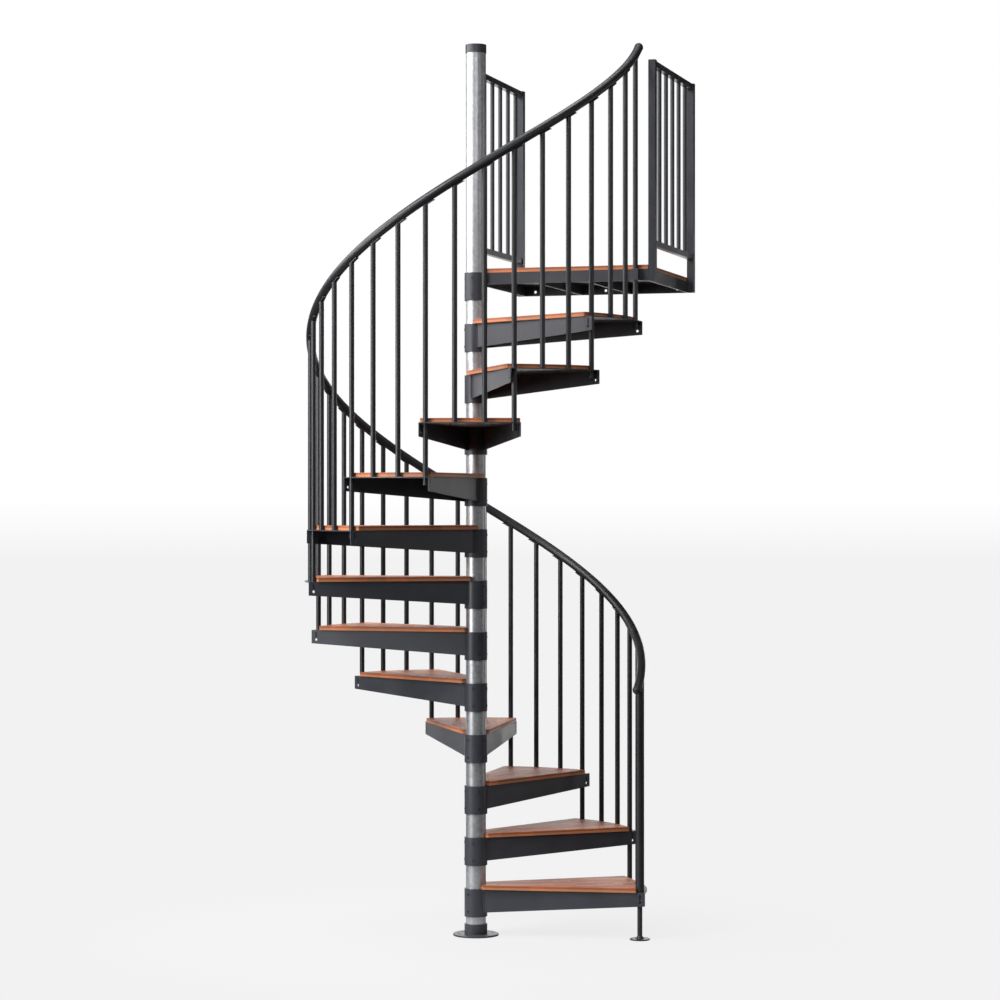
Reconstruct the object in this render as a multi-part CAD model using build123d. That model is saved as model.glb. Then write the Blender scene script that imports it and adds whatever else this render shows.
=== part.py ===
from build123d import *
from math import asin, atan2, cos, degrees, radians, sin, sqrt, tan
import os

os.makedirs("parts", exist_ok=True)

# Millimetres, +Z up. The origin is on the pole's axis, at the underside of the base flange.
# The landing lies square to X and Y with its corner on the pole's axis, and the stair winds down
# from its front edge, clockwise as one descends.

# Stair
tread_count = 12
rise = 228.3                 # from one walking surface to the next, landing included
tread_turn = 29.36           # degrees from one tread's centre line to the next
rail_circle = 736.0          # radius on which balusters, newel and handrail stand
rim_margin = 26.0            # from the rail circle out to the edge of the steel treads

# Centre pole, base and cap
pole_diameter = 88.9
pole_wall = 5.5
pole_above_landing = 992.7   # from the landing's walking surface to the top of the pole
slip_gap = 0.3               # radial gap of each sleeve and collar round the pole
base_diameter = 203.0
base_thickness = 8.0
base_sleeve_height = 44.0
base_bolt_circle = 152.0
base_bolt_count = 4
base_bolt_radius = 5.5
base_bolt_angle = 25.0       # first hole, from +X
cap_wall = 1.8
cap_height = 38.0
cap_top_thickness = 5.0
cap_edge = 2.0

# Hub collars, one for each tread and one for the landing
collar_wall = 6.2
collar_height = 124.5

# Steel tread pan
plate = 4.0
pan_root_half_width = 31.8   # half width of the pan, carried back to the pole's axis
pan_taper = 14.1             # degrees from the tread's centre line to each side plate
pan_inner_end = 30.0         # where the side plates meet the collar, from the pole's axis
pan_inner_height = 105.0
pan_outer_height = 60.0
pan_corner_round = 5.0
fixing_inset = 22.0          # slot and hole, from the side plate's outer end
slot_length = 24.0
slot_width = 6.0
slot_top = 9.0               # from the steel's top down to the slot
fixing_hole_radius = 5.5
fixing_hole_height = 17.0    # from the side plate's lower edge to the hole's centre

# Wooden treads and landing deck
board_thickness = 19.0
board_root_half_width = 55.05    # half width of the board, carried back to the pole's axis
board_taper = 12.8           # degrees from the tread's centre line to the board's long edges
board_baluster_gap = 1.0     # from the board's outer edge to the balusters on the steel ledge
board_inner_edge = 23.0      # from the pole's axis
board_pole_gap = 1.5
board_newel_gap = 3.0
board_corner_round = 6.0
board_edge_round = 2.5

# Balusters
baluster_diameter = 22.2
baluster_wall = 1.6
balusters_per_tread = 3
baluster_hole_gap = 0.3
baluster_drop = 36.0         # how far a shared baluster runs on below the lower tread's steel
saddle_length = 54.0
saddle_width = 16.0
saddle_thickness = 4.0
saddle_gap = 0.3

# Handrail, newel and foot
rail_diameter = 38.1
rail_height = 919.5          # from the nosing line to the rail's centre line
rail_tail = 5.5              # degrees that the rail runs on before the newel
rail_lead = 5.2              # degrees that the rail runs on past the last baluster
newel_diameter = 38.1
newel_wall = 2.5
newel_end_plate = 3.0
cope_gap = 0.4
foot_rod_diameter = 22.2
foot_boss_diameter = 40.0
foot_boss_height = 11.0
foot_disc_diameter = 89.0
foot_disc_thickness = 6.0
foot_edge = 2.0

# Landing
landing_rail_margin = 54.0   # from the rail circle out to the landing's right side
landing_depth = 770.0        # along Y, from the pole's axis
landing_plate = 6.0
landing_plate_height = 50.5
landing_top_sheet = 4.0
landing_joist_count = 2
landing_joist_spacing = 234.0
landing_baluster_gap = 2.6   # between the last baluster and the landing's front plate
deck_overhang = 1.0          # past the front and back plates
deck_side_gap = 0.5
lug_wall = 3.3               # of the lug that ties the last baluster to the landing
lug_width = 31.0
landing_bolt_count = 3
landing_bolt_spacing = 343.0
landing_bolt_height = 19.0   # from the back plate's lower edge
landing_bolt_radius = 6.5

# Guard panels on the landing
post_size = 31.75
post_wall = 2.0
post_cap_thickness = 2.5
post_height = 896.3          # above the walking surface
post_inset = 1.0             # from the frame's front and back faces
post_collar_gap = 20.0       # from the landing's collar back to the left front post
guard_bar_count = 5
guard_bar_pitch = 121.5
guard_bar_diameter = 19.05
guard_bar_wall = 1.5
guard_rail_size = 25.4
guard_rail_wall = 1.6
guard_top_rail_drop = 16.1   # from the post's top down to the rail's centre line
guard_bottom_rail_height = 94.4    # centre line, above the walking surface

# What follows from the sizes above
landing_top = (tread_count + 1) * rise
landing_steel_top = landing_top - board_thickness
landing_steel_bottom = landing_steel_top - landing_plate_height
pole_radius = pole_diameter / 2
pole_top = landing_top + pole_above_landing
collar_bore = pole_radius + slip_gap
collar_radius = collar_bore + collar_wall
baluster_radius = baluster_diameter / 2
rail_radius = rail_diameter / 2
rim_radius = rail_circle + rim_margin
landing_width = rail_circle + landing_rail_margin            # along X, from the pole's axis
guard_top_rail_height = post_height - guard_top_rail_drop
newel_radius = newel_diameter / 2
board_rim_radius = rail_circle - baluster_radius - board_baluster_gap
baluster_turn = tread_turn / balusters_per_tread
rail_pitch = rise * 360 / tread_turn
rail_slope = atan2(rise, radians(tread_turn) * rail_circle)
landing_clear_angle = degrees(asin((baluster_radius + landing_baluster_gap) / rail_circle))
top_tread_angle = -landing_clear_angle - tread_turn / 2      # centre line of the last tread


def tread_angle(number):
    """Direction of a tread's centre line, in degrees from +X."""
    return top_tread_angle - (tread_count - number) * tread_turn


def steel_top(number):
    return number * rise - board_thickness


def nosing_angle(number):
    """Direction of the baluster at a tread's leading corner."""
    return tread_angle(number) - tread_turn / 2


def rail_centre_height(angle):
    climbed = (angle - nosing_angle(1)) / tread_turn
    return rise * (1 + climbed) + rail_height


def on_circle(radius, angle, height=0.0):
    return Vector(radius * cos(radians(angle)), radius * sin(radians(angle)), height)


def place_tread(shape, number):
    return Pos(0, 0, steel_top(number)) * Rot(0, 0, tread_angle(number)) * shape


def round_bar(radius, low, high):
    """Upright cylinder on the origin's axis, between two heights."""
    middle = (low + high) / 2
    return Pos(0, 0, middle) * Cylinder(radius, high - low)


def tube(radius, wall, low, high):
    return round_bar(radius, low, high) - round_bar(radius - wall, low, high)


def side_line(root, taper, along):
    """Half width of a pan or board at a distance along its centre line."""
    return root + along * tan(radians(taper))


def side_meets_circle(root, taper, radius):
    """Where a side line meets a circle round the pole."""
    slope = tan(radians(taper))
    a = 1 + slope ** 2
    b = 2 * root * slope
    c = root ** 2 - radius ** 2
    along = (-b + sqrt(b ** 2 - 4 * a * c)) / (2 * a)
    return along, side_line(root, taper, along)


def wedge_face(root, taper, inner, radius):
    """Tread outline: two tapered sides, a straight inner end and an arc outside."""
    outer_along, outer_half = side_meets_circle(root, taper, radius)
    inner_half = side_line(root, taper, inner)
    start = (outer_along, -outer_half)
    end = (outer_along, outer_half)
    sides = Polyline(end, (inner, inner_half), (inner, -inner_half), start)
    rim = ThreePointArc(start, (radius, 0), end)
    return make_face(sides + rim)


def side_plate():
    """Left side plate of a pan, with its slot and hole, outer face on the side line."""
    outer_along, outer_half = side_meets_circle(pan_root_half_width, pan_taper, rim_radius)
    length = (outer_along - pan_inner_end) / cos(radians(pan_taper))
    outline = Polyline(
        (0, 0),
        (length, 0),
        (length, -pan_outer_height),
        (0, -pan_inner_height),
        close=True,
    )
    face = make_face(outline)
    outer_corner = face.vertices().sort_by(Axis.X)[-2:].sort_by(Axis.Y)[-1]
    face = fillet(outer_corner, pan_corner_round)
    slot_middle = -slot_top - slot_length / 2
    slot = Pos(length - fixing_inset, slot_middle) * Rot(0, 0, 90) * SlotOverall(slot_length, slot_width)
    hole = Pos(length - fixing_inset, fixing_hole_height - pan_outer_height) * Circle(fixing_hole_radius)
    face = face - slot - hole
    start = (pan_inner_end, side_line(pan_root_half_width, pan_taper, pan_inner_end), 0)
    along = (cos(radians(pan_taper)), sin(radians(pan_taper)), 0)
    outward = (-sin(radians(pan_taper)), cos(radians(pan_taper)), 0)
    back = Plane(origin=start, x_dir=along, z_dir=(-outward[0], -outward[1], 0))
    return back * extrude(face, plate)


def collar():
    return tube(collar_radius, collar_wall, -collar_height, 0)


def corner_hole(side, radius):
    """Hole through the ledge for the baluster at one of the tread's outer corners."""
    spot = on_circle(rail_circle, side * tread_turn / 2)
    return Pos(spot.X, spot.Y, -plate / 2) * Cylinder(radius, 2 * plate)


def tread_support(front_hole_radius):
    """Folded sheet pan, open at its outer end, welded to its hub collar."""
    outline = wedge_face(pan_root_half_width, pan_taper, pan_inner_end, rim_radius)
    top = extrude(outline, -plate)
    left = side_plate()
    right = mirror(left, about=Plane.XZ)
    shape = top + left + right + collar()
    shape = shape - round_bar(collar_bore, -collar_height, 0)
    shape = shape - corner_hole(-1, front_hole_radius + baluster_hole_gap)
    return shape - corner_hole(1, baluster_radius + baluster_hole_gap)


def tread_board():
    """Wooden tread with eased edges, notched round the pole."""
    outline = wedge_face(board_root_half_width, board_taper, board_inner_edge, board_rim_radius)
    board = extrude(outline, board_thickness)
    corners = board.edges().filter_by(Axis.Z)
    board = fillet(corners, board_corner_round)
    top_edges = board.faces().sort_by(Axis.Z)[-1].edges()
    board = fillet(top_edges, board_edge_round)
    return board - round_bar(pole_radius + board_pole_gap, 0, board_thickness)


def notch_for_newel(board):
    spot = Pos(on_circle(rail_circle, -tread_turn / 2))
    return board - spot * round_bar(newel_radius + board_newel_gap, 0, board_thickness)


def baluster(angle, foot_height):
    """Round tube with a saddle plate under the handrail, open at its lower end."""
    saddle_top = rail_centre_height(angle) - (rail_radius + saddle_gap) / cos(rail_slope)
    tilt = Rot(0, 0, angle) * Rot(degrees(rail_slope), 0, 0)
    saddle = Box(saddle_width, saddle_length, saddle_thickness)
    saddle = Pos(0, saddle_length / 4, -saddle_thickness / 2) * fillet(saddle.edges().filter_by(Axis.Z), 3)
    top = Pos(on_circle(rail_circle, angle, saddle_top))
    bar = round_bar(baluster_radius, foot_height, saddle_top)
    bore = round_bar(baluster_radius - baluster_wall, foot_height, saddle_top - rail_diameter)
    above = Pos(0, 0, rail_diameter / 2) * Box(rail_diameter * 2, rail_diameter * 2, rail_diameter)
    spot = Pos(on_circle(rail_circle, angle))
    shape = spot * (bar - bore) - top * tilt * above
    return shape + top * tilt * saddle


def baluster_foot(index):
    """Shared balusters pass through two treads, and those between stand on the ledge."""
    tread = (index - 1) // balusters_per_tread + 1
    if index % balusters_per_tread == 0:
        return steel_top(tread) - baluster_drop
    return steel_top(tread)


def newel():
    """Tube from the first tread's steel up to the handrail, coped to fit under it."""
    angle = nosing_angle(1)
    low = steel_top(1) - pan_outer_height
    high = rail_centre_height(angle)
    post = round_bar(newel_radius, low, high)
    bore = round_bar(newel_radius - newel_wall, low + newel_end_plate, high)
    cope = Cylinder(rail_radius + cope_gap, rail_diameter * 4, rotation=(90, 0, 0))
    tilt = Rot(0, 0, angle) * Rot(degrees(rail_slope), 0, 0)
    centre = Pos(on_circle(rail_circle, angle, high))
    return Pos(on_circle(rail_circle, angle)) * (post - bore) - centre * tilt * cope


def handrail():
    """Round rail on a helix over the balusters, with domed ends."""
    start = nosing_angle(1) - rail_tail
    end = nosing_angle(tread_count + 1) + rail_lead
    low = rail_centre_height(start)
    high = rail_centre_height(end)
    path = Pos(0, 0, low) * Rot(0, 0, start) * Helix(rail_pitch, high - low, rail_circle)
    section = Plane(origin=path @ 0, z_dir=path % 0) * Circle(rail_radius)
    rail = sweep(section, path=path, is_frenet=True)
    ends = [(path @ 0, path % 0 * -1), (path @ 1, path % 1)]
    for point, outward in ends:
        rail = rail + Plane(origin=point, z_dir=outward) * Sphere(rail_radius, arc_size1=0)
    return rail


def foot():
    """Rod under the newel, standing on a round floor plate."""
    high = steel_top(1) - pan_outer_height
    disc = round_bar(foot_disc_diameter / 2, 0, foot_disc_thickness)
    disc = fillet(disc.edges().group_by(Axis.Z)[-1], foot_edge)
    boss_top = foot_disc_thickness + foot_boss_height
    boss = Pos(0, 0, (foot_disc_thickness + boss_top) / 2) * Cone(
        foot_boss_diameter / 2, foot_rod_diameter / 2, foot_boss_height
    )
    rod = round_bar(foot_rod_diameter / 2, foot_disc_thickness, high)
    return Pos(on_circle(rail_circle, nosing_angle(1))) * (disc + boss + rod)


def base_flange():
    disc = round_bar(base_diameter / 2, 0, base_thickness)
    disc = fillet(disc.edges().group_by(Axis.Z)[-1], foot_edge)
    sleeve_top = base_thickness + base_sleeve_height
    sleeve = tube(collar_radius, collar_wall, base_thickness, sleeve_top)
    shape = disc + sleeve
    for index in range(base_bolt_count):
        spot = on_circle(base_bolt_circle / 2, base_bolt_angle + index * 360 / base_bolt_count)
        shape = shape - Pos(spot.X, spot.Y, base_thickness / 2) * Cylinder(base_bolt_radius, base_thickness * 2)
    return shape


def centre_pole():
    return tube(pole_radius, pole_wall, base_thickness, pole_top)


def pole_cap():
    """Cup that slips over the pole's top end."""
    radius = pole_radius + slip_gap + cap_wall
    top = pole_top + cap_top_thickness
    cup = round_bar(radius, top - cap_height, top)
    cup = fillet(cup.edges().group_by(Axis.Z)[-1], cap_edge)
    return cup - round_bar(pole_radius + slip_gap, top - cap_height, pole_top)


def box_between(low, high):
    size = [b - a for a, b in zip(low, high)]
    centre = [(a + b) / 2 for a, b in zip(low, high)]
    return Pos(*centre) * Box(*size)


def landing_frame():
    """Square pan of flat bars under a top sheet, with joists, a hub collar and a lug."""
    low = landing_steel_bottom
    high = landing_steel_top
    inside = landing_plate
    outer = box_between((0, 0, low), (landing_width, landing_depth, high))
    core = box_between(
        (inside, inside, low),
        (landing_width - inside, landing_depth - inside, high - landing_top_sheet),
    )
    frame = outer - core
    for index in range(landing_joist_count):
        offset = index - (landing_joist_count - 1) / 2
        middle = landing_width / 2 + offset * landing_joist_spacing
        joist = box_between(
            (middle - inside / 2, 0, low),
            (middle + inside / 2, landing_depth, high),
        )
        frame = frame + joist
    frame = frame + Pos(0, 0, high) * collar() + baluster_lug()
    frame = frame - round_bar(collar_bore, high - collar_height, high)
    spot = on_circle(rail_circle, nosing_angle(tread_count + 1))
    frame = frame - Pos(spot.X, spot.Y) * round_bar(baluster_radius + baluster_hole_gap, low, high)
    for spot in landing_bolts():
        frame = frame - Pos(*spot) * Cylinder(landing_bolt_radius, landing_plate * 3, rotation=(90, 0, 0))
    return frame


def baluster_lug():
    """Block on the front plate, round the last baluster."""
    spot = on_circle(rail_circle, nosing_angle(tread_count + 1))
    reach = baluster_radius + baluster_hole_gap + lug_wall
    return box_between(
        (spot.X - lug_width / 2, spot.Y - reach, landing_steel_bottom),
        (spot.X + lug_width / 2, landing_plate / 2, landing_steel_top),
    )


def landing_bolts():
    """Centres of the holes in the back plate, for bolts into the upper floor's edge."""
    height = landing_steel_bottom + landing_bolt_height
    spots = []
    for index in range(landing_bolt_count):
        offset = index - (landing_bolt_count - 1) / 2
        spots.append((landing_width / 2 + offset * landing_bolt_spacing, landing_depth, height))
    return spots


def landing_deck():
    low = (deck_side_gap, -deck_overhang, landing_steel_top)
    high = (landing_width - deck_side_gap, landing_depth + deck_overhang, landing_top)
    deck = box_between(low, high)
    top_edges = deck.faces().sort_by(Axis.Z)[-1].edges()
    deck = fillet(top_edges, board_edge_round)
    return deck - round_bar(pole_radius + board_pole_gap, landing_steel_top, landing_top)


def guard_panel(post_x, front_edge):
    """Two square posts, two rails and the bars between them."""
    half = post_size / 2
    front = front_edge + half
    back = landing_depth - post_inset - half
    top = landing_top + post_height
    panel = []
    for y in (front, back):
        post = box_between((-half, -half, landing_steel_bottom), (half, half, top))
        bore = box_between(
            (post_wall - half, post_wall - half, landing_steel_bottom),
            (half - post_wall, half - post_wall, top - post_cap_thickness),
        )
        panel.append(Pos(post_x, y) * (post - bore))
    rail_half = guard_rail_size / 2
    bore_half = rail_half - guard_rail_wall
    heights = (landing_top + guard_bottom_rail_height, landing_top + guard_top_rail_height)
    for height in heights:
        rail = box_between((-rail_half, front + half, -rail_half), (rail_half, back - half, rail_half))
        bore = box_between((-bore_half, front + half, -bore_half), (bore_half, back - half, bore_half))
        panel.append(Pos(post_x, 0, height) * (rail - bore))
    low = heights[0] + rail_half
    high = heights[1] - rail_half
    for index in range(guard_bar_count):
        y = (front + back) / 2 + guard_bar_pitch * (index - (guard_bar_count - 1) / 2)
        panel.append(Pos(post_x, y) * tube(guard_bar_diameter / 2, guard_bar_wall, low, high))
    shape = panel[0]
    for piece in panel[1:]:
        shape = shape + piece
    return shape


def write(shape, name):
    export_step(shape, f"parts/{name}.step")
    return shape


write(base_flange(), "base_flange")
write(centre_pole(), "centre_pole")
write(pole_cap(), "pole_cap")

first_support = tread_support(newel_radius)
support = tread_support(baluster_radius)
board = tread_board()
first_board = notch_for_newel(board)
for number in range(1, tread_count + 1):
    pan = first_support if number == 1 else support
    top = first_board if number == 1 else board
    write(place_tread(pan, number), f"tread_{number:02d}_support")
    write(place_tread(top, number), f"tread_{number:02d}_board")

baluster_total = tread_count * balusters_per_tread
group_size = balusters_per_tread * 3
for first in range(1, baluster_total + 1, group_size):
    bars = []
    for index in range(first, min(first + group_size, baluster_total + 1)):
        angle = nosing_angle(1) + index * baluster_turn
        bars.append(baluster(angle, baluster_foot(index)))
    first_tread = (first - 1) // balusters_per_tread + 1
    last_tread = first_tread + 2
    write(Compound(children=bars), f"balusters_{first_tread:02d}_to_{last_tread:02d}")

write(newel(), "newel")
write(foot(), "newel_foot")
write(handrail(), "handrail")

write(landing_frame(), "landing_frame")
write(landing_deck(), "landing_deck")
write(guard_panel(-post_size / 2, collar_radius + post_collar_gap), "guard_panel_left")
write(guard_panel(landing_width + post_size / 2, post_inset), "guard_panel_right")
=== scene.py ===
import math
import bmesh
import bpy
from mathutils import Matrix, Vector


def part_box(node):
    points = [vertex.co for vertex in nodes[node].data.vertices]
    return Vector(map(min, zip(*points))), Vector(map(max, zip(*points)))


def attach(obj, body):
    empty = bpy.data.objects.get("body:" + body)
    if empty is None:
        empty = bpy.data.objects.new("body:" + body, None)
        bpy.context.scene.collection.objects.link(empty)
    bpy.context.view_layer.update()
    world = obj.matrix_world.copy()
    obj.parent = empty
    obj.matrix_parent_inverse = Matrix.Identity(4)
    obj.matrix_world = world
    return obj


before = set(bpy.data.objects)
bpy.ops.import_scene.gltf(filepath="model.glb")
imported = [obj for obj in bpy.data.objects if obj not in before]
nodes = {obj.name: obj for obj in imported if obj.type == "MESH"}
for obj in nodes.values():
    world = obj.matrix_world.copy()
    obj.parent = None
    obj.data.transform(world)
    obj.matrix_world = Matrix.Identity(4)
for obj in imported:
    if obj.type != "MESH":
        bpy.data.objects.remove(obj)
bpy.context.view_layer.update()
print("frame loaded,", len(nodes), "pieces")

# The stair as it was built, in metres, read off the frame where it can be
stair = {
    "treads": 12,
    "turn": math.radians(29.36),         # from one tread to the next
    "topTread": math.radians(-15.7466),  # direction of the last tread
    "railCircle": 0.736,
    "railHeight": 0.9195,                # over the nosing line
    "railRadius": 0.01905,
    "collarRadius": 0.05095,
    "collarHeight": 0.1245,
    "plate": 0.004,
    "balusterDrop": 0.036,
    "guardBars": 5,
    "guardPitch": 0.1215,
    "guardLow": 0.0944,
    "guardDrop": 0.0161,
    "guardHalf": 0.0127,
    "guardBar": 0.009525,
}
stair["rise"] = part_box("tread_02_board")[1].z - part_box("tread_01_board")[1].z
stair["deckTop"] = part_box("landing_deck")[1].z


def treadAngle(number):
    return stair["topTread"] - (stair["treads"] - number) * stair["turn"]


def addNode(tree, kind, x, y, **settings):
    node = tree.nodes.new(kind)
    node.location = (x, y)
    for key, value in settings.items():
        setattr(node, key, value)
    return node


def setInputs(node, **values):
    for key, value in values.items():
        node.inputs[key.replace("_", " ")].default_value = value
    return node


def newGroup(name, ins, outs):
    # ins and outs: name -> socket type
    group = bpy.data.node_groups.new(name, "ShaderNodeTree")
    for label, kind in ins.items():
        group.interface.new_socket(name=label, in_out="INPUT", socket_type="NodeSocket" + kind)
    for label, kind in outs.items():
        group.interface.new_socket(name=label, in_out="OUTPUT", socket_type="NodeSocket" + kind)
    start = addNode(group, "NodeGroupInput", -1200, 0)
    end = addNode(group, "NodeGroupOutput", 800, 0)
    return group, start, end


def mathNode(tree, operation, a, b=None, x=0, y=0, clamp=False):
    node = addNode(tree, "ShaderNodeMath", x, y, operation=operation, use_clamp=clamp)
    for index, value in enumerate((a, b)):
        if value is None:
            continue
        if isinstance(value, (int, float)):
            node.inputs[index].default_value = value
        else:
            tree.links.new(value, node.inputs[index])
    return node.outputs[0]


def remap(tree, value, low, high, toLow=0.0, toHigh=1.0, x=0, y=0):
    node = addNode(tree, "ShaderNodeMapRange", x, y)
    tree.links.new(value, node.inputs["Value"])
    setInputs(node, From_Min=low, From_Max=high, To_Min=toLow, To_Max=toHigh)
    return node.outputs["Result"]


def noise(tree, vector, scale, detail=3.0, rough=0.5, distortion=0.0, x=0, y=0):
    node = addNode(tree, "ShaderNodeTexNoise", x, y)
    tree.links.new(vector, node.inputs["Vector"])
    setInputs(node, Scale=scale, Detail=detail, Roughness=rough, Distortion=distortion)
    return node.outputs["Fac"]


def mixColour(tree, factor, a, b, x=0, y=0, blend="MIX"):
    node = addNode(tree, "ShaderNodeMix", x, y, data_type="RGBA", blend_type=blend)
    for socket, value in ((node.inputs[0], factor), (node.inputs[6], a), (node.inputs[7], b)):
        if isinstance(value, (int, float)):
            socket.default_value = value
        elif isinstance(value, tuple):
            socket.default_value = (*value, 1.0)
        else:
            tree.links.new(value, socket)
    return node.outputs[2]


# Shader groups shared by the finishes

def makeEdgeGroup():
    # rounds an edge in the shading and says where an edge is
    group, start, end = newGroup(
        "roundedEdges", {"Radius": "Float"}, {"Normal": "Vector", "Edge": "Float"}
    )
    bevel = addNode(group, "ShaderNodeBevel", -800, 0, samples=4)
    group.links.new(start.outputs["Radius"], bevel.inputs["Radius"])
    plain = addNode(group, "ShaderNodeNewGeometry", -800, -200)
    dot = addNode(group, "ShaderNodeVectorMath", -500, -100, operation="DOT_PRODUCT")
    group.links.new(bevel.outputs["Normal"], dot.inputs[0])
    group.links.new(plain.outputs["Normal"], dot.inputs[1])
    edge = remap(group, dot.outputs["Value"], 0.985, 0.8, x=-200, y=-100)
    group.links.new(bevel.outputs["Normal"], end.inputs["Normal"])
    group.links.new(edge, end.inputs["Edge"])
    return group


def makePaintGroup():
    # fine orange peel and slow patches of a sprayed and baked coat
    group, start, end = newGroup(
        "sprayedCoat", {"Vector": "Vector", "Grain": "Float"}, {"Peel": "Float", "Patches": "Float"}
    )
    peel = addNode(group, "ShaderNodeTexNoise", -600, 200)
    setInputs(peel, Detail=2.0, Roughness=0.6)
    group.links.new(start.outputs["Vector"], peel.inputs["Vector"])
    group.links.new(start.outputs["Grain"], peel.inputs["Scale"])
    patches = noise(group, start.outputs["Vector"], 5.0, 4.0, 0.6, 0.4, -600, -200)
    group.links.new(peel.outputs["Fac"], end.inputs["Peel"])
    group.links.new(remap(group, patches, 0.3, 0.7, x=-300, y=-200), end.inputs["Patches"])
    return group


def makeDustGroup():
    # a thin film of dust on what faces up
    group, start, end = newGroup("settledDust", {"Vector": "Vector"}, {"Dust": "Float"})
    geometry = addNode(group, "ShaderNodeNewGeometry", -900, 200)
    parts = addNode(group, "ShaderNodeSeparateXYZ", -700, 200)
    group.links.new(geometry.outputs["Normal"], parts.inputs[0])
    up = remap(group, parts.outputs["Z"], 0.4, 1.0, x=-500, y=200)
    cloud = noise(group, start.outputs["Vector"], 14.0, 5.0, 0.65, 0.2, -700, -100)
    spread = remap(group, cloud, 0.35, 0.75, x=-400, y=-100)
    group.links.new(mathNode(group, "MULTIPLY", up, spread, -100, 0), end.inputs["Dust"])
    return group


def makeStaveGroup():
    # short staves glued side by side and end to end along X, each with its own tone
    group, start, end = newGroup(
        "gluedStaves",
        {"Vector": "Vector", "Width": "Float", "Length": "Float", "Seed": "Float"},
        {"Tone": "Float", "Joint": "Float", "Shift": "Vector"},
    )
    parts = addNode(group, "ShaderNodeSeparateXYZ", -1000, 300)
    group.links.new(start.outputs["Vector"], parts.inputs[0])
    across = mathNode(group, "DIVIDE", parts.outputs["Y"], start.outputs["Width"], -850, 300)
    row = mathNode(group, "FLOOR", across, None, -700, 300)
    rowSeed = mathNode(group, "ADD", row, start.outputs["Seed"], -550, 300)
    rowTone = addNode(group, "ShaderNodeTexWhiteNoise", -400, 450, noise_dimensions="1D")
    group.links.new(rowSeed, rowTone.inputs["W"])
    along = mathNode(group, "DIVIDE", parts.outputs["X"], start.outputs["Length"], -850, 0)
    started = mathNode(group, "MULTIPLY_ADD", rowTone.outputs["Value"], 7.0, -700, 0)
    group.links.new(along, started.node.inputs[2])
    slowed = mathNode(group, "MULTIPLY", started, 1.7, -550, -100)
    wave = mathNode(group, "SINE", slowed, None, -400, -100)
    uneven = mathNode(group, "MULTIPLY_ADD", wave, 0.42, -250, 0)
    group.links.new(started, uneven.node.inputs[2])
    block = mathNode(group, "FLOOR", uneven, None, -100, 0)
    pair = addNode(group, "ShaderNodeCombineXYZ", 50, 200)
    group.links.new(rowSeed, pair.inputs[0])
    group.links.new(block, pair.inputs[1])
    tone = addNode(group, "ShaderNodeTexWhiteNoise", 200, 200, noise_dimensions="3D")
    group.links.new(pair.outputs[0], tone.inputs["Vector"])
    sideGap = mathNode(group, "PINGPONG", across, 0.5, -100, -300)
    endGap = mathNode(group, "PINGPONG", uneven, 0.5, -100, -450)
    sideJoint = remap(group, sideGap, 0.020, 0.0, x=100, y=-300)
    endJoint = remap(group, endGap, 0.006, 0.0, x=100, y=-450)
    joint = mathNode(group, "MAXIMUM", sideJoint, endJoint, 300, -300)
    shift = addNode(group, "ShaderNodeVectorMath", 400, 0, operation="SCALE")
    group.links.new(tone.outputs["Color"], shift.inputs[0])
    shift.inputs["Scale"].default_value = 3.0
    group.links.new(tone.outputs["Value"], end.inputs["Tone"])
    group.links.new(joint, end.inputs["Joint"])
    group.links.new(shift.outputs[0], end.inputs["Shift"])
    return group


def makeGrainGroup():
    # growth rings drawn out along X, and the fine dark pores of a hardwood
    group, start, end = newGroup(
        "woodGrain", {"Vector": "Vector", "Shift": "Vector"}, {"Grain": "Float", "Pores": "Float"}
    )
    moved = addNode(group, "ShaderNodeVectorMath", -900, 0, operation="ADD")
    group.links.new(start.outputs["Vector"], moved.inputs[0])
    group.links.new(start.outputs["Shift"], moved.inputs[1])
    drawn = addNode(group, "ShaderNodeMapping", -600, 100)
    drawn.inputs["Scale"].default_value = (1.0, 12.0, 12.0)
    group.links.new(moved.outputs[0], drawn.inputs["Vector"])
    rings = noise(group, drawn.outputs[0], 4.0, 5.0, 0.6, 0.9, -300, 100)
    fine = addNode(group, "ShaderNodeMapping", -600, -300)
    fine.inputs["Scale"].default_value = (1.0, 26.0, 26.0)
    group.links.new(moved.outputs[0], fine.inputs["Vector"])
    pores = noise(group, fine.outputs[0], 34.0, 2.0, 0.7, 0.0, -300, -300)
    group.links.new(remap(group, rings, 0.3, 0.7, x=100, y=100), end.inputs["Grain"])
    group.links.new(remap(group, pores, 0.58, 0.7, x=100, y=-300), end.inputs["Pores"])
    return group


edgeGroup = makeEdgeGroup()
paintGroup = makePaintGroup()
dustGroup = makeDustGroup()
staveGroup = makeStaveGroup()
grainGroup = makeGrainGroup()


def useGroup(tree, group, x, y, **values):
    node = addNode(tree, "ShaderNodeGroup", x, y)
    node.node_tree = group
    for key, value in values.items():
        if isinstance(value, (int, float)):
            node.inputs[key].default_value = value
        else:
            tree.links.new(value, node.inputs[key])
    return node


def startMaterial(name):
    material = bpy.data.materials.new(name)
    material.use_nodes = True
    tree = material.node_tree
    tree.nodes.clear()
    out = addNode(tree, "ShaderNodeOutputMaterial", 900, 0)
    shader = addNode(tree, "ShaderNodeBsdfPrincipled", 600, 0)
    tree.links.new(shader.outputs[0], out.inputs["Surface"])
    where = addNode(tree, "ShaderNodeTexCoord", -1200, 0)
    return material, tree, shader, where.outputs["Object"]


def bumpFrom(tree, height, strength, distance, normal=None, x=300, y=-300):
    bump = addNode(tree, "ShaderNodeBump", x, y)
    setInputs(bump, Strength=strength, Distance=distance)
    tree.links.new(height, bump.inputs["Height"])
    if normal is not None:
        tree.links.new(normal, bump.inputs["Normal"])
    return bump.outputs["Normal"]


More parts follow.
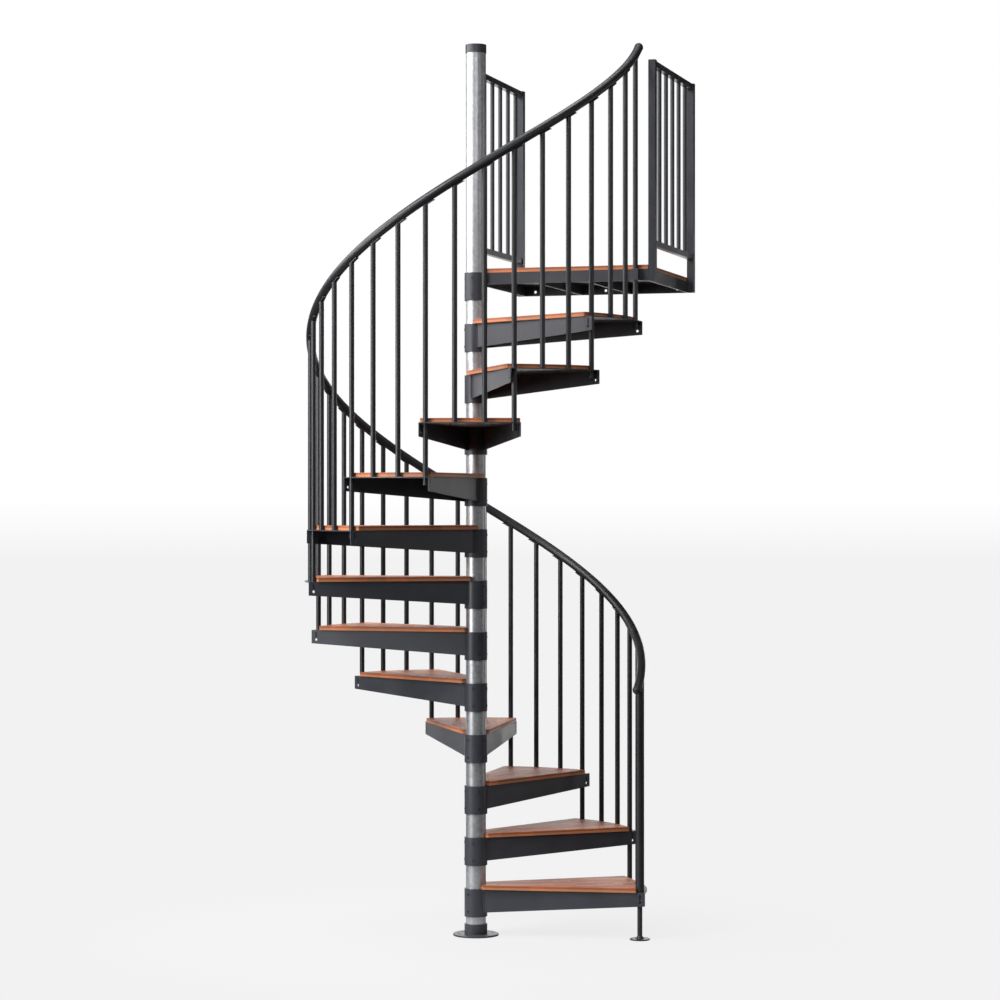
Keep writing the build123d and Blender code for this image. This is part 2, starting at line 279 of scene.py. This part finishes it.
coat = {
    "dark": (0.034, 0.036, 0.045),
    "light": (0.046, 0.049, 0.060),
    # edge: a lighter tone painted on the rounded edges as a highlight; the welds also take it as
    # their lighter tone
    "edge": (0.080, 0.085, 0.100),
    # the tubes and the rail take a darker copy of the same coat: painted shade on the round tubes
    "tubeShadedDark": (0.015, 0.016, 0.019),
    "tubeShadedLight": (0.021, 0.022, 0.026),
    "dust": (0.22, 0.21, 0.20),
    "rough": 0.42,
}


def makeCoat(name, edgeRadius, roughness, dark, light, dustAmount=0.12):
    material, tree, shader, where = startMaterial(name)
    paint = useGroup(tree, paintGroup, -800, 200, Vector=where, Grain=900.0)
    edges = useGroup(tree, edgeGroup, -800, -200, Radius=edgeRadius)
    dust = useGroup(tree, dustGroup, -800, -500, Vector=where)
    colour = mixColour(tree, paint.outputs["Patches"], dark, light, -500, 200)
    # painted highlight: the coat is lightened towards the edge colour along the edges
    edgeHighlightShare = mathNode(tree, "MULTIPLY", edges.outputs["Edge"], 0.5, -500, 0)
    colour = mixColour(tree, edgeHighlightShare, colour, coat["edge"], -250, 200)
    dustShare = mathNode(tree, "MULTIPLY", dust.outputs["Dust"], dustAmount, -500, -500)
    colour = mixColour(tree, dustShare, colour, coat["dust"], 0, 200)
    tree.links.new(colour, shader.inputs["Base Color"])
    rough = remap(tree, paint.outputs["Patches"], 0, 1, roughness - 0.05, roughness + 0.05, 0, 0)
    tree.links.new(mathNode(tree, "ADD", rough, dustShare, 250, 0), shader.inputs["Roughness"])
    bump = bumpFrom(tree, paint.outputs["Peel"], 0.25, 0.0004, edges.outputs["Normal"])
    tree.links.new(bump, shader.inputs["Normal"])
    return material


def makeWeldCoat():
    # the same coat over the ripples of a weld bead
    material, tree, shader, where = startMaterial("coatedWeld")
    paint = useGroup(tree, paintGroup, -800, 200, Vector=where, Grain=600.0)
    colour = mixColour(tree, paint.outputs["Patches"], coat["light"], coat["edge"], -400, 200)
    tree.links.new(colour, shader.inputs["Base Color"])
    shader.inputs["Roughness"].default_value = coat["rough"]
    ripple = addNode(tree, "ShaderNodeTexWave", -800, -200, wave_type="BANDS", bands_direction="Z")
    setInputs(ripple, Scale=150.0, Distortion=2.5, Detail=2.0, Detail_Scale=2.0)
    tree.links.new(where, ripple.inputs["Vector"])
    tree.links.new(bumpFrom(tree, ripple.outputs["Fac"], 0.7, 0.0012), shader.inputs["Normal"])
    return material


zinc = {
    "dark": (0.42, 0.43, 0.45),
    "light": (0.56, 0.57, 0.59),
    "bloom": (0.62, 0.63, 0.65),
    "cells": 75.0,                       # crystals to the metre
}


def makeZinc():
    # hot-dip zinc: faint crystals about a centimetre wide, with a dull bloom over them
    material, tree, shader, where = startMaterial("hotDipZinc")
    warp = addNode(tree, "ShaderNodeTexNoise", -1000, 300)
    setInputs(warp, Scale=40.0, Detail=2.0)
    tree.links.new(where, warp.inputs["Vector"])
    bent = addNode(tree, "ShaderNodeVectorMath", -800, 200, operation="MULTIPLY_ADD")
    tree.links.new(warp.outputs["Color"], bent.inputs[0])
    bent.inputs[1].default_value = (0.008, 0.008, 0.008)
    tree.links.new(where, bent.inputs[2])
    cells = addNode(tree, "ShaderNodeTexVoronoi", -600, 200)
    setInputs(cells, Scale=zinc["cells"])
    tree.links.new(bent.outputs[0], cells.inputs["Vector"])
    parts = addNode(tree, "ShaderNodeSeparateColor", -400, 200)
    tree.links.new(cells.outputs["Color"], parts.inputs[0])
    colour = mixColour(tree, parts.outputs[0], zinc["dark"], zinc["light"], -200, 200)
    cloud = noise(tree, where, 9.0, 5.0, 0.6, 0.3, -600, -100)
    bloom = remap(tree, cloud, 0.4, 0.75, x=-400, y=-100)
    bloomShare = mathNode(tree, "MULTIPLY", bloom, 0.5, -200, -100)
    colour = mixColour(tree, bloomShare, colour, zinc["bloom"], 0, 200)
    tree.links.new(colour, shader.inputs["Base Color"])
    shader.inputs["Metallic"].default_value = 0.8
    rough = remap(tree, parts.outputs[1], 0, 1, 0.36, 0.44, 0, 0)
    tree.links.new(rough, shader.inputs["Roughness"])
    streak = noise(tree, where, 160.0, 3.0, 0.6, 0.0, -600, -400)
    crystals = mathNode(tree, "MULTIPLY", parts.outputs[2], 0.3, 0, -300)
    height = mathNode(tree, "ADD", crystals, streak, 100, -400)
    tree.links.new(bumpFrom(tree, height, 0.06, 0.0004), shader.inputs["Normal"])
    return material


timber = {
    "deep": (0.230, 0.052, 0.019),
    "mid": (0.430, 0.118, 0.042),
    "pale": (0.620, 0.215, 0.090),
    "pore": (0.075, 0.020, 0.010),
    # a darker colour painted as shade on the rounded top edge and the upper part of the sides
    "paintedShadeBand": (0.270, 0.085, 0.036),
    "sawn": (0.440, 0.180, 0.082),
    # how far down the sides the painted shade reaches
    "paintedShadeDepth": 0.009,
    "width": 0.036,
    "length": 0.135,
    "seedStep": 7.0,
    "landingSeed": 101.0,
}


def makeTimber(name, angle, seed, top):
    # the pattern is turned so that the staves run along the tread, whose upper face is at top
    material, tree, shader, where = startMaterial(name)
    turn = addNode(tree, "ShaderNodeMapping", -1000, 0, vector_type="TEXTURE")
    turn.inputs["Rotation"].default_value = (0, 0, angle)
    tree.links.new(where, turn.inputs["Vector"])
    local = turn.outputs[0]
    staves = useGroup(
        tree, staveGroup, -800, 300,
        Vector=local, Width=timber["width"], Length=timber["length"], Seed=seed,
    )
    wood = useGroup(tree, grainGroup, -600, 100, Vector=local, Shift=staves.outputs["Shift"])
    edges = useGroup(tree, edgeGroup, -800, -200, Radius=0.0015)
    colour = mixColour(tree, staves.outputs["Tone"], timber["deep"], timber["pale"], -400, 300)
    grainShare = mathNode(tree, "MULTIPLY", wood.outputs["Grain"], 0.5, -400, 100)
    colour = mixColour(tree, grainShare, colour, timber["mid"], -250, 300)
    poreShare = mathNode(tree, "MULTIPLY", wood.outputs["Pores"], 0.4, -400, -100)
    colour = mixColour(tree, poreShare, colour, timber["pore"], -100, 300)
    jointShare = mathNode(tree, "MULTIPLY", staves.outputs["Joint"], 0.55, -100, 100)
    colour = mixColour(tree, jointShare, colour, timber["pore"], 50, 300)
    # the sawn sides are paler than the oiled top; the darker band over the rounded top edge and the
    # upper part of the sides is painted shade, and the lower half below it keeps the paler sawn
    # colour
    facing = addNode(tree, "ShaderNodeNewGeometry", -800, -450)
    parts = addNode(tree, "ShaderNodeSeparateXYZ", -600, -450)
    tree.links.new(facing.outputs["Normal"], parts.inputs[0])
    upright = mathNode(tree, "ABSOLUTE", parts.outputs["Z"], None, -450, -450)
    side = remap(tree, upright, 0.30, 0.06, x=-300, y=-450)
    # painted shade: the rounded edges take the darker band colour
    rounded = remap(tree, upright, 0.97, 0.80, x=-300, y=-600)
    paintedShadeBand = mixColour(tree, staves.outputs["Tone"], timber["paintedShadeBand"], timber["mid"], -100, -350)
    sawn = mixColour(tree, staves.outputs["Tone"], timber["sawn"], timber["pale"], -100, -500)
    place = addNode(tree, "ShaderNodeSeparateXYZ", -800, -700)
    tree.links.new(where, place.inputs[0])
    # painted shade down the upper part of the sides; the lower part keeps the paler sawn colour
    paintedShadeEnd = top - timber["paintedShadeDepth"]
    low = remap(tree, place.outputs["Z"], paintedShadeEnd + 0.0008, paintedShadeEnd - 0.0008, x=-300, y=-750)
    sawn = mixColour(tree, low, paintedShadeBand, sawn, 50, -500)
    colour = mixColour(tree, rounded, colour, paintedShadeBand, 200, 300)
    colour = mixColour(tree, side, colour, sawn, 350, 300)
    tree.links.new(colour, shader.inputs["Base Color"])
    rough = remap(tree, wood.outputs["Grain"], 0, 1, 0.46, 0.58, 200, 0)
    duller = mathNode(tree, "MULTIPLY_ADD", poreShare, 0.3, 400, 0)
    tree.links.new(rough, duller.node.inputs[2])
    tree.links.new(duller, shader.inputs["Roughness"])
    shader.inputs["Specular IOR Level"].default_value = 0.4
    sunk = mathNode(tree, "MULTIPLY_ADD", staves.outputs["Joint"], 1.5, 100, -200)
    tree.links.new(wood.outputs["Pores"], sunk.node.inputs[2])
    height = mathNode(tree, "SUBTRACT", grainShare, sunk, 200, -300)
    bump = bumpFrom(tree, height, 0.3, 0.0005, edges.outputs["Normal"])
    tree.links.new(bump, shader.inputs["Normal"])
    return material


fittings = {
    "plugDark": (0.012, 0.012, 0.013),
    "plugLight": (0.028, 0.028, 0.030),
    "screwDark": (0.030, 0.030, 0.034),
    "screwLight": (0.070, 0.070, 0.075),
}


def makePlastic():
    # matt black plugs, faintly moulded
    material, tree, shader, where = startMaterial("mouldedPlug")
    cloud = noise(tree, where, 60.0, 3.0, 0.6, 0.0, -600, 100)
    colour = mixColour(tree, cloud, fittings["plugDark"], fittings["plugLight"], -300, 100)
    tree.links.new(colour, shader.inputs["Base Color"])
    tree.links.new(remap(tree, cloud, 0, 1, 0.42, 0.56, -300, -100), shader.inputs["Roughness"])
    grain = noise(tree, where, 2200.0, 2.0, 0.6, 0.0, -600, -300)
    tree.links.new(bumpFrom(tree, grain, 0.2, 0.0003), shader.inputs["Normal"])
    return material


def makeFixing():
    # black-oxide screws, unevenly darkened
    material, tree, shader, where = startMaterial("blackScrew")
    cloud = noise(tree, where, 320.0, 4.0, 0.6, 0.3, -600, 100)
    colour = mixColour(tree, cloud, fittings["screwDark"], fittings["screwLight"], -300, 100)
    tree.links.new(colour, shader.inputs["Base Color"])
    shader.inputs["Metallic"].default_value = 0.6
    tree.links.new(remap(tree, cloud, 0, 1, 0.30, 0.46, -300, -100), shader.inputs["Roughness"])
    turned = addNode(tree, "ShaderNodeTexWave", -600, -300, wave_type="RINGS")
    setInputs(turned, Scale=900.0, Distortion=1.0)
    tree.links.new(where, turned.inputs["Vector"])
    tree.links.new(bumpFrom(tree, turned.outputs["Fac"], 0.15, 0.0002), shader.inputs["Normal"])
    return material


plateCoat = makeCoat("anthracitePlate", 0.0012, coat["rough"], coat["dark"], coat["light"])
# the tubes and the rail use the darker copy of the coat, painted shade
tubeCoat = makeCoat("anthraciteTube", 0.0008, 0.36, coat["tubeShadedDark"], coat["tubeShadedLight"])
railCoat = makeCoat("anthraciteRail", 0.0010, 0.40, coat["tubeShadedDark"], coat["tubeShadedLight"], 0.18)
weldCoat = makeWeldCoat()
zincPole = makeZinc()
blackPlastic = makePlastic()
blackSteel = makeFixing()


def dressFrame():
    for name, piece in nodes.items():
        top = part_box(name)[1].z
        if name.endswith("_board"):
            number = int(name[6:8])
            seed = number * timber["seedStep"]
            material = makeTimber("timber_%02d" % number, treadAngle(number), seed, top)
        elif name == "landing_deck":
            material = makeTimber("timber_landing", 0.0, timber["landingSeed"], top)
        elif name == "centre_pole":
            material = zincPole
        elif name.startswith("balusters") or name in ("newel", "newel_foot"):
            material = tubeCoat
        elif name == "handrail":
            material = railCoat
        else:
            material = plateCoat
        piece.data.materials.clear()
        piece.data.materials.append(material)


dressFrame()
print("finishes on the frame")


# Small pieces, each shape placed as often as the stair has it

def turned(direction, at):
    # a frame at a point with its Z along the direction
    rotation = Vector(direction).to_track_quat("Z", "Y").to_matrix().to_4x4()
    return Matrix.Translation(Vector(at)) @ rotation


onEdge = Matrix.Rotation(math.radians(90), 4, "X")


def polar(radius, angle, height):
    return Vector((radius * math.cos(angle), radius * math.sin(angle), height))


def finishPiece(name, mesh, material, smooth=35):
    bmesh.ops.recalc_face_normals(mesh, faces=mesh.faces)
    data = bpy.data.meshes.new(name)
    mesh.to_mesh(data)
    mesh.free()
    data.materials.append(material)
    piece = bpy.data.objects.new(name, data)
    bpy.context.scene.collection.objects.link(piece)
    for face in data.polygons:
        face.use_smooth = True
    data.set_sharp_from_angle(angle=math.radians(smooth))
    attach(piece, "root")
    return piece


def disc(mesh, place, radius, depth, segments=12):
    # a round slug standing on the place, returned as its top face and its axis
    made = bmesh.ops.create_cone(
        mesh, cap_ends=True, segments=segments, radius1=radius, radius2=radius, depth=depth,
        matrix=place @ Matrix.Translation((0, 0, depth / 2)),
    )
    axis = place.to_3x3() @ Vector((0, 0, 1))
    faces = {face for vert in made["verts"] for face in vert.link_faces}
    caps = [face for face in faces if len(face.verts) == segments]
    return max(caps, key=lambda face: face.normal.dot(axis)), axis


def screwHead(mesh, place, screw):
    # a round head standing proud of the place, with a socket sunk in it
    face, axis = disc(mesh, place, screw["radius"], screw["height"])
    bmesh.ops.inset_region(mesh, faces=[face], thickness=screw["rim"], use_even_offset=True)
    sunk = bmesh.ops.extrude_discrete_faces(mesh, faces=[face])["faces"]
    bmesh.ops.translate(mesh, verts=sunk[0].verts, vec=axis * -screw["socket"])


def roundOff(mesh, edges, offset):
    bmesh.ops.bevel(
        mesh, geom=list(edges), offset=offset, segments=2, profile=0.5, affect="EDGES", material=-1
    )


def ringRound(mesh, centre, axis, across, radius, steps):
    # a round section spun about the axis; across places the section
    loop = bmesh.ops.create_circle(mesh, segments=6, radius=radius, matrix=across)
    edges = {edge for vert in loop["verts"] for edge in vert.link_edges}
    bmesh.ops.spin(
        mesh, geom=[*loop["verts"], *edges], cent=centre, axis=axis, angle=math.tau, steps=steps,
        use_merge=True,
    )


setScrew = {
    "radius": 0.0050,
    "height": 0.0022,
    "rim": 0.0020,
    "socket": 0.0014,
    "sunk": 0.0006,
    "turn": math.radians(136),           # round the collar from the tread's direction
    "inset": 0.024,                      # from either end of the collar
}


def collarFaces():
    # steel top and direction of each collar, the landing's last
    for number in range(1, stair["treads"] + 1):
        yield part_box("tread_%02d_support" % number)[1].z, treadAngle(number)
    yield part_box("landing_frame")[1].z, math.radians(45)


def makeSetScrews():
    mesh = bmesh.new()
    radius = stair["collarRadius"] - setScrew["sunk"]
    inset = setScrew["inset"]
    for top, direction in collarFaces():
        for side in (-1, 1):
            angle = direction + side * setScrew["turn"]
            for height in (top - inset, top - stair["collarHeight"] + inset):
                screwHead(mesh, turned(polar(1, angle, 0), polar(radius, angle, height)), setScrew)
    return finishPiece("collarSetScrews", mesh, blackSteel)


boardScrew = {
    "radius": 0.0055,
    "height": 0.0028,
    "rim": 0.0030,
    "socket": 0.0016,
    "sunk": 0.0004,
    "stations": (0.16, 0.60),            # from the pole's axis
    "sideStart": 0.020,                  # the pan's half width runs about like this
    "sideSlope": 0.17,
    "sideShare": 0.72,
}


def makeBoardScrews():
    # from below, through the pan into each board, four to a tread
    mesh = bmesh.new()
    for number in range(1, stair["treads"] + 1):
        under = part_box("tread_%02d_support" % number)[1].z - stair["plate"]
        for radius in boardScrew["stations"]:
            width = boardScrew["sideStart"] + boardScrew["sideSlope"] * radius
            spread = math.atan2(width, radius) * boardScrew["sideShare"]
            for side in (-1, 1):
                at = polar(radius, treadAngle(number) + side * spread, under + boardScrew["sunk"])
                screwHead(mesh, turned((0, 0, -1), at), boardScrew)
    return finishPiece("boardScrews", mesh, blackSteel)


def nosingAngle(number):
    return treadAngle(number) - stair["turn"] / 2


def railHeight(angle):
    climbed = (angle - nosingAngle(1)) / stair["turn"]
    return stair["rise"] * (1 + climbed) + stair["railHeight"]


def railDirection(angle):
    slope = math.atan2(stair["rise"], stair["turn"] * stair["railCircle"])
    flat = Vector((-math.sin(angle), math.cos(angle), 0))
    return flat * math.cos(slope) + Vector((0, 0, math.sin(slope)))


def railDown(angle):
    # square to the rail and to the radius, pointing away below it
    return railDirection(angle).cross(polar(1, angle, 0)).normalized() * -1


saddleScrew = {
    "radius": 0.0040,
    "height": 0.0020,
    "rim": 0.0022,
    "socket": 0.0012,
    "along": 0.031,                      # up the rail from the baluster
    "below": 0.0042,                     # under the rail's own surface
}


def makeSaddleScrews():
    # under the uphill end of each saddle plate, into the rail
    mesh = bmesh.new()
    for index in range(1, stair["treads"] * 3 + 1):
        angle = nosingAngle(1) + index * stair["turn"] / 3
        down = railDown(angle)
        if down.z > 0:
            down = down * -1
        centre = polar(stair["railCircle"], angle, railHeight(angle))
        drop = down * (stair["railRadius"] + saddleScrew["below"])
        at = centre + railDirection(angle) * saddleScrew["along"] + drop
        screwHead(mesh, turned(down, at), saddleScrew)
    return finishPiece("saddleScrews", mesh, blackSteel)


balusterPlug = {"radius": 0.0094, "depth": 0.0035, "edge": 0.0012, "inset": 0.004, "segments": 20}


def makeBalusterPlugs():
    # in the open lower end of each baluster that runs through two treads
    mesh = bmesh.new()
    for number in range(1, stair["treads"] + 1):
        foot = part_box("tread_%02d_support" % number)[1].z - stair["balusterDrop"]
        at = polar(stair["railCircle"], nosingAngle(number + 1), foot + balusterPlug["inset"])
        face, axis = disc(
            mesh, turned((0, 0, -1), at), balusterPlug["radius"], balusterPlug["depth"],
            balusterPlug["segments"],
        )
        roundOff(mesh, face.edges, balusterPlug["edge"])
    return finishPiece("balusterPlugs", mesh, blackPlastic, 60)


railPlug = {
    "proud": 0.0003,
    "tail": math.radians(5.5),           # how far the rail runs past its first and last posts
    "lead": math.radians(5.2),
    "seam": 0.0005,
    "ring": 0.0009,
    "ringSteps": 40,
}


def makeRailPlugs():
    # domed plugs over both ends of the rail, each behind a narrow seam
    plugs = bmesh.new()
    rings = bmesh.new()
    first = nosingAngle(1) - railPlug["tail"]
    last = nosingAngle(stair["treads"] + 1) + railPlug["lead"]
    for angle, sense in ((first, -1), (last, 1)):
        centre = polar(stair["railCircle"], angle, railHeight(angle))
        out = railDirection(angle) * sense
        place = turned(out, centre)
        radius = stair["railRadius"] + railPlug["proud"]
        ball = bmesh.ops.create_uvsphere(
            plugs, u_segments=32, v_segments=16, radius=radius, matrix=place
        )
        faces = {face for vert in ball["verts"] for face in vert.link_faces}
        edges = {edge for face in faces for edge in face.edges}
        bmesh.ops.bisect_plane(
            plugs, geom=[*ball["verts"], *edges, *faces], plane_co=centre + out * railPlug["seam"],
            plane_no=out, clear_inner=True,
        )
        across = place @ Matrix.Translation((stair["railRadius"], 0, 0))
        ringRound(rings, centre, out, across @ onEdge, railPlug["ring"], railPlug["ringSteps"])
    finishPiece("railEndRings", rings, tubeCoat, 80)
    return finishPiece("railEndPlugs", plugs, blackPlastic, 60)


weld = {
    "radius": 0.0024,
    "sides": 8,
    "rounding": 0.6,                     # of the radius, at the bead's ends
    "meets": math.radians(53),           # where a side plate meets the collar
    "proud": 0.0004,
    "low": 0.1005,                       # below the steel's top
    "high": 0.003,
    "ring": 0.0020,
    "ringSteps": 20,
}


def bead(mesh, low, high, radius):
    # a fillet of weld between two points, its ends rounded over
    made = bmesh.ops.create_cone(
        mesh, cap_ends=True, segments=weld["sides"], radius1=radius, radius2=radius,
        depth=(high - low).length, matrix=turned(high - low, (low + high) / 2),
    )
    faces = {face for vert in made["verts"] for face in vert.link_faces}
    caps = [face for face in faces if len(face.verts) == weld["sides"]]
    roundOff(mesh, {edge for face in caps for edge in face.edges}, radius * weld["rounding"])


def makeCollarWelds():
    # down both side plates where they meet the collar
    mesh = bmesh.new()
    for number in range(1, stair["treads"] + 1):
        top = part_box("tread_%02d_support" % number)[1].z
        radius = stair["collarRadius"] + weld["proud"]
        for side in (-1, 1):
            angle = treadAngle(number) + side * weld["meets"]
            low = polar(radius, angle, top - weld["low"])
            bead(mesh, low, polar(radius, angle, top - weld["high"]), weld["radius"])
    return finishPiece("collarWelds", mesh, weldCoat, 60)


def makeGuardWelds():
    # a ring of weld at both ends of every guard bar
    mesh = bmesh.new()
    out = Matrix.Translation((stair["guardBar"] + weld["proud"], 0, 0))
    for panel in ("guard_panel_left", "guard_panel_right"):
        low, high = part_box(panel)
        x = (low.x + high.x) / 2
        middle = (low.y + high.y) / 2
        levels = (
            stair["deckTop"] + stair["guardLow"] + stair["guardHalf"],
            high.z - stair["guardDrop"] - stair["guardHalf"],
        )
        for index in range(stair["guardBars"]):
            y = middle + stair["guardPitch"] * (index - (stair["guardBars"] - 1) / 2)
            for level in levels:
                centre = Vector((x, y, level))
                across = Matrix.Translation(centre) @ out @ onEdge
                ringRound(mesh, centre, (0, 0, 1), across, weld["ring"], weld["ringSteps"])
    return finishPiece("guardWelds", mesh, weldCoat, 80)


slotStop = {
    "width": 0.011,
    "height": 0.030,
    "thick": 0.0015,
    "gap": 0.0001,                       # to the side plate
    "inset": 0.022,
    "middle": 0.021,
    "round": 0.002,
}
pan = {
    "root": 0.0318,
    "taper": math.radians(14.1),
    "inner": 0.030,
    "end": 0.73103,
}


def makeSlotStops():
    # a thin strip inside each pan, behind the slot beside the baluster
    mesh = bmesh.new()
    length = (pan["end"] - pan["inner"]) / math.cos(pan["taper"]) - slotStop["inset"]
    behind = stair["plate"] + slotStop["thick"] / 2 + slotStop["gap"]
    size = Matrix.Diagonal((slotStop["width"], slotStop["thick"], slotStop["height"], 1))
    for number in range(1, stair["treads"] + 1):
        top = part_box("tread_%02d_support" % number)[1].z
        for side in (1,) if number == 1 else (-1, 1):  # the newel fills the first one
            along = Vector((math.cos(pan["taper"]), side * math.sin(pan["taper"]), 0))
            inward = Vector((math.sin(pan["taper"]), -side * math.cos(pan["taper"]), 0))
            half = pan["root"] + pan["inner"] * math.tan(pan["taper"])
            at = Vector((pan["inner"], side * half, 0)) + along * length + inward * behind
            at.z = -slotStop["middle"]
            basis = Matrix((along, inward, (0, 0, 1))).transposed().to_4x4()
            stand = Matrix.Translation((0, 0, top)) @ Matrix.Rotation(treadAngle(number), 4, "Z")
            place = stand @ Matrix.Translation(at) @ basis @ size
            made = bmesh.ops.create_cube(mesh, size=1, matrix=place)
            edges = {edge for vert in made["verts"] for edge in vert.link_edges}
            # the short edges, through the strip's thickness
            corners = [edge for edge in edges if edge.calc_length() < slotStop["thick"] * 1.01]
            roundOff(mesh, corners, slotStop["round"])
    return finishPiece("slotStops", mesh, blackPlastic)


makeSetScrews()
makeSlotStops()
makeBoardScrews()
makeSaddleScrews()
makeBalusterPlugs()
makeRailPlugs()
makeCollarWelds()
makeGuardWelds()
print("screws, plugs and welds added")


# Studio, measured as the photograph sees it: X to the right, Y away from the camera

studio = {
    "camera": (3.732, -11.766, 1.9379),
    "turn": math.radians(17.1),
    "lens": 99.72,
    "worldLight": 0.015,
}
floorLook = {
    "size": 2500.0,
    "near": (0.6, 0.62),                 # distance and tone that the stair sees
    "far": (2.2, 0.03),
    "seen": 0.888,                       # tone that the camera sees
    "fadeFrom": 0.0125,                  # one over the distance where it starts to fade to white
    "shadowNear": (0.3, 0.12),           # distance and share of real shading, for the soft shadow
    "shadowFar": (1.8, 0.0),
}
# place, aim, size, power and, for a narrow beam, the spread in degrees
softboxes = {
    "keyBox": ((-4.2, -3.2, 6.6), (0, 0, 0.8), (2.6, 2.6), 130, 110),
    "leftWall": ((-5.4, 0.4, 4.9), (0, 0, 1.8), (4.6, 3.6), 310),
    "lowLeft": ((-4.9, -3.2, 2.3), (0, 0, 1.2), (2.0, 2.2), 175),
    "frontBox": ((0.6, -6.4, 5.0), (0, 0, 0.8), (3.0, 2.4), 30, 110),
    "rightBox": ((4.6, -3.6, 3.6), (0, 0, 1.0), (2.0, 2.6), 10, 120),
    "rightCard": ((5.5, 1.0, 2.2), (0, 0, 2.0), (2.0, 5.0), 30),
    "overBox": ((0, 0, 9.0), (0, 0, 0), (3.5, 3.5), 270),
    "backCard": ((0, 7.0, 2.1), (0, 0, 1.8), (8.5, 4.0), 240),
}


def placeCamera():
    data = bpy.data.cameras.new("camera")
    data.lens = studio["lens"]
    data.sensor_width = 36.0
    data.clip_end = 5000.0
    camera = bpy.data.objects.new("camera", data)
    camera.location = studio["camera"]
    camera.rotation_euler = (math.radians(90), 0, studio["turn"])
    bpy.context.scene.collection.objects.link(camera)
    bpy.context.scene.camera = camera


def placeFloor():
    mesh = bmesh.new()
    bmesh.ops.create_grid(mesh, x_segments=1, y_segments=1, size=floorLook["size"])
    data = bpy.data.meshes.new("floor")
    mesh.to_mesh(data)
    mesh.free()
    floor = bpy.data.objects.new("floor", data)
    bpy.context.scene.collection.objects.link(floor)
    material, tree, shader, where = startMaterial("paleFloor")
    out = shader.outputs[0].links[0].to_node
    length = addNode(tree, "ShaderNodeVectorMath", -1000, 200, operation="LENGTH")
    tree.links.new(where, length.inputs[0])
    away = length.outputs["Value"]
    # what the stair sees: pale close by, dim further off
    near, far = floorLook["near"], floorLook["far"]
    tone = remap(tree, away, near[0], far[0], near[1], far[1], -700, -200)
    tree.links.new(tone, shader.inputs["Base Color"])
    shader.inputs["Roughness"].default_value = 0.7
    shader.inputs["Specular IOR Level"].default_value = 0.1
    # what the camera sees: an even pale sweep that fades to white far off, with a soft shadow
    lit = addNode(tree, "ShaderNodeBsdfDiffuse", 300, 400)
    lit.inputs["Color"].default_value = (0.78, 0.78, 0.79, 1)
    even = addNode(tree, "ShaderNodeEmission", 300, 600)
    closeness = mathNode(tree, "DIVIDE", 1.0, away, -600, 600)
    white = remap(tree, closeness, 0.0, floorLook["fadeFrom"], 1.0, floorLook["seen"], -400, 600)
    tree.links.new(white, even.inputs["Strength"])
    even.inputs["Color"].default_value = (0.998, 0.998, 1.0, 1)
    near, far = floorLook["shadowNear"], floorLook["shadowFar"]
    share = remap(tree, away, near[0], far[0], near[1], far[1], -400, 400)
    seen = addNode(tree, "ShaderNodeMixShader", 500, 500)
    tree.links.new(share, seen.inputs[0])
    tree.links.new(even.outputs[0], seen.inputs[1])
    tree.links.new(lit.outputs[0], seen.inputs[2])
    path = addNode(tree, "ShaderNodeLightPath", 300, 200)
    both = addNode(tree, "ShaderNodeMixShader", 750, 300)
    tree.links.new(path.outputs["Is Camera Ray"], both.inputs[0])
    tree.links.new(shader.outputs[0], both.inputs[1])
    tree.links.new(seen.outputs[0], both.inputs[2])
    tree.links.new(both.outputs[0], out.inputs["Surface"])
    floor.data.materials.append(material)


def softbox(name, place, aim, size, power, spread=180):
    data = bpy.data.lights.new(name, "AREA")
    data.shape = "RECTANGLE"
    data.size, data.size_y = size
    data.energy = power
    data.spread = math.radians(spread)
    lamp = bpy.data.objects.new(name, data)
    lamp.visible_camera = False
    around = Matrix.Rotation(studio["turn"], 4, "Z")
    spot = around @ Vector(place)
    lamp.location = spot
    lamp.rotation_euler = (around @ Vector(aim) - spot).to_track_quat("-Z", "Y").to_euler()
    bpy.context.scene.collection.objects.link(lamp)


def lightStudio():
    world = bpy.data.worlds.new("studio")
    bpy.context.scene.world = world
    world.use_nodes = True
    tree = world.node_tree
    tree.nodes.clear()
    out = addNode(tree, "ShaderNodeOutputWorld", 400, 0)
    seen = addNode(tree, "ShaderNodeBackground", 0, 100)
    setInputs(seen, Color=(1, 1, 1, 1), Strength=1.0)
    lighting = addNode(tree, "ShaderNodeBackground", 0, -100)
    setInputs(lighting, Color=(0.95, 0.97, 1.0, 1), Strength=studio["worldLight"])
    path = addNode(tree, "ShaderNodeLightPath", -200, 200)
    mix = addNode(tree, "ShaderNodeMixShader", 200, 0)
    tree.links.new(path.outputs["Is Camera Ray"], mix.inputs[0])
    tree.links.new(lighting.outputs[0], mix.inputs[1])
    tree.links.new(seen.outputs[0], mix.inputs[2])
    tree.links.new(mix.outputs[0], out.inputs["Surface"])
    for name, setting in softboxes.items():
        softbox(name, *setting)
    bpy.context.scene.view_settings.view_transform = "Standard"


placeCamera()
placeFloor()
lightStudio()
print("studio set")
